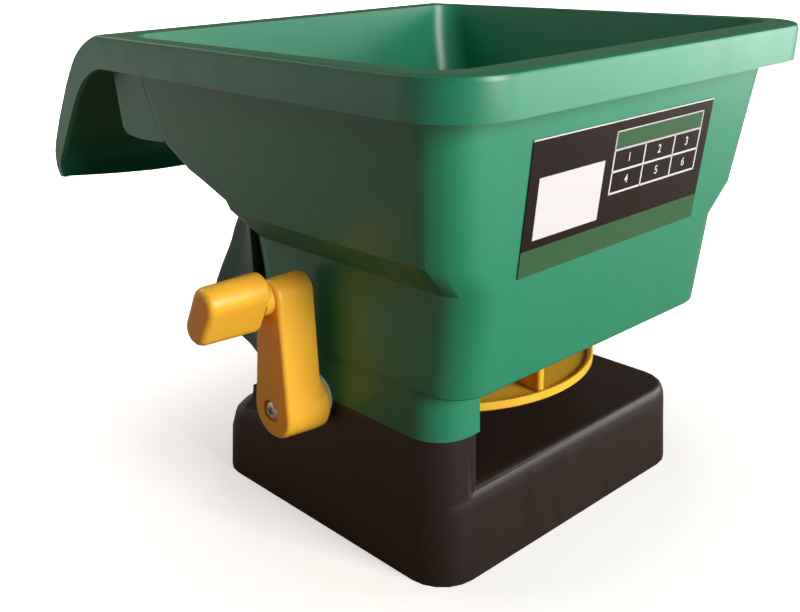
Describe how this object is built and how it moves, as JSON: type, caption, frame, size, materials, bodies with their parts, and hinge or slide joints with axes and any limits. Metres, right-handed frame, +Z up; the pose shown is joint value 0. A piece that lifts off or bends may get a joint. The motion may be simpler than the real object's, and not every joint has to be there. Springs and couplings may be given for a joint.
{
  "type": "handheld rotary spreader",
  "caption": "Crank-driven handheld rotary spreader with a green hopper and curled rear handle, black gear base, yellow vaned disc, crank and a flow gate.",
  "frame": {"origin": "On the axis of the throwing disc, at floor level under the base.", "axes": "+Z up, -Y the throw side with the label, +Y the curled handle, -X the crank side."},
  "size_m": [0.2264, 0.2613, 0.19],
  "materials": {
    "green_plastic": "satin",
    "dark_green_plastic": "satin",
    "black_plastic": "satin",
    "yellow_plastic": "gloss",
    "natural_plastic": "satin",
    "zinc_steel": "satin",
    "bright_steel": "satin",
    "label_film": "gloss"
  },
  "bodies": {
    "frame": {"hopper": "green_plastic", "rear_shroud": "dark_green_plastic", "base": "black_plastic", "base_plate": "black_plastic", "body_screws": "zinc_steel", "plate_screws": "zinc_steel", "crank_bush": "natural_plastic", "crank_washer": "zinc_steel", "layshaft_bushes": "natural_plastic", "lower_bush": "natural_plastic", "deck_bush": "natural_plastic", "floor_bush": "natural_plastic", "disc_washer": "zinc_steel", "gate_retainer": "natural_plastic", "gate_screws": "zinc_steel", "front_label": "label_film"},
    "crank": {"crank_arm": "yellow_plastic", "crank_screw": "zinc_steel", "crank_shaft": "bright_steel", "crank_gear": "natural_plastic"},
    "grip": {"crank_grip": "yellow_plastic"},
    "layshaft": {"layshaft": "bright_steel", "layshaft_pinion": "natural_plastic", "bevel_gear": "natural_plastic"},
    "rotor": {"disc_shaft": "bright_steel", "bevel_pinion": "natural_plastic", "spreader_disc": "yellow_plastic", "disc_clip": "zinc_steel", "agitator": "black_plastic", "agitator_pin": "zinc_steel"},
    "gate": {"flow_gate": "black_plastic", "gate_knob": "yellow_plastic"}
  },
  "joints": [
    {"name": "crank_spin", "type": "hinge", "parent": "frame", "child": "crank", "pos_m": [-0.08, 0, 0.059], "axis": [1, 0, 0], "continuous": true},
    {"name": "grip_spin", "type": "hinge", "parent": "crank", "child": "grip", "pos_m": [-0.11, -0.002, 0.1048], "axis": [1, 0, 0], "continuous": true},
    {"name": "layshaft_spin", "type": "hinge", "parent": "frame", "child": "layshaft", "pos_m": [-0.04, 0, 0.0293], "axis": [1, 0, 0], "continuous": true},
    {"name": "disc_spin", "type": "hinge", "parent": "frame", "child": "rotor", "pos_m": [0, 0, 0.06], "axis": [0, 0, 1], "continuous": true},
    {"name": "gate_swing", "type": "hinge", "parent": "frame", "child": "gate", "pos_m": [0, 0, 0.0715], "axis": [0, 0, 1], "range_deg": [0, 30]}
  ],
  "couplings": [
    {"joint": "layshaft_spin", "follows": "crank_spin", "ratio": -2.8571},
    {"joint": "disc_spin", "follows": "crank_spin", "ratio": 5}
  ]
}
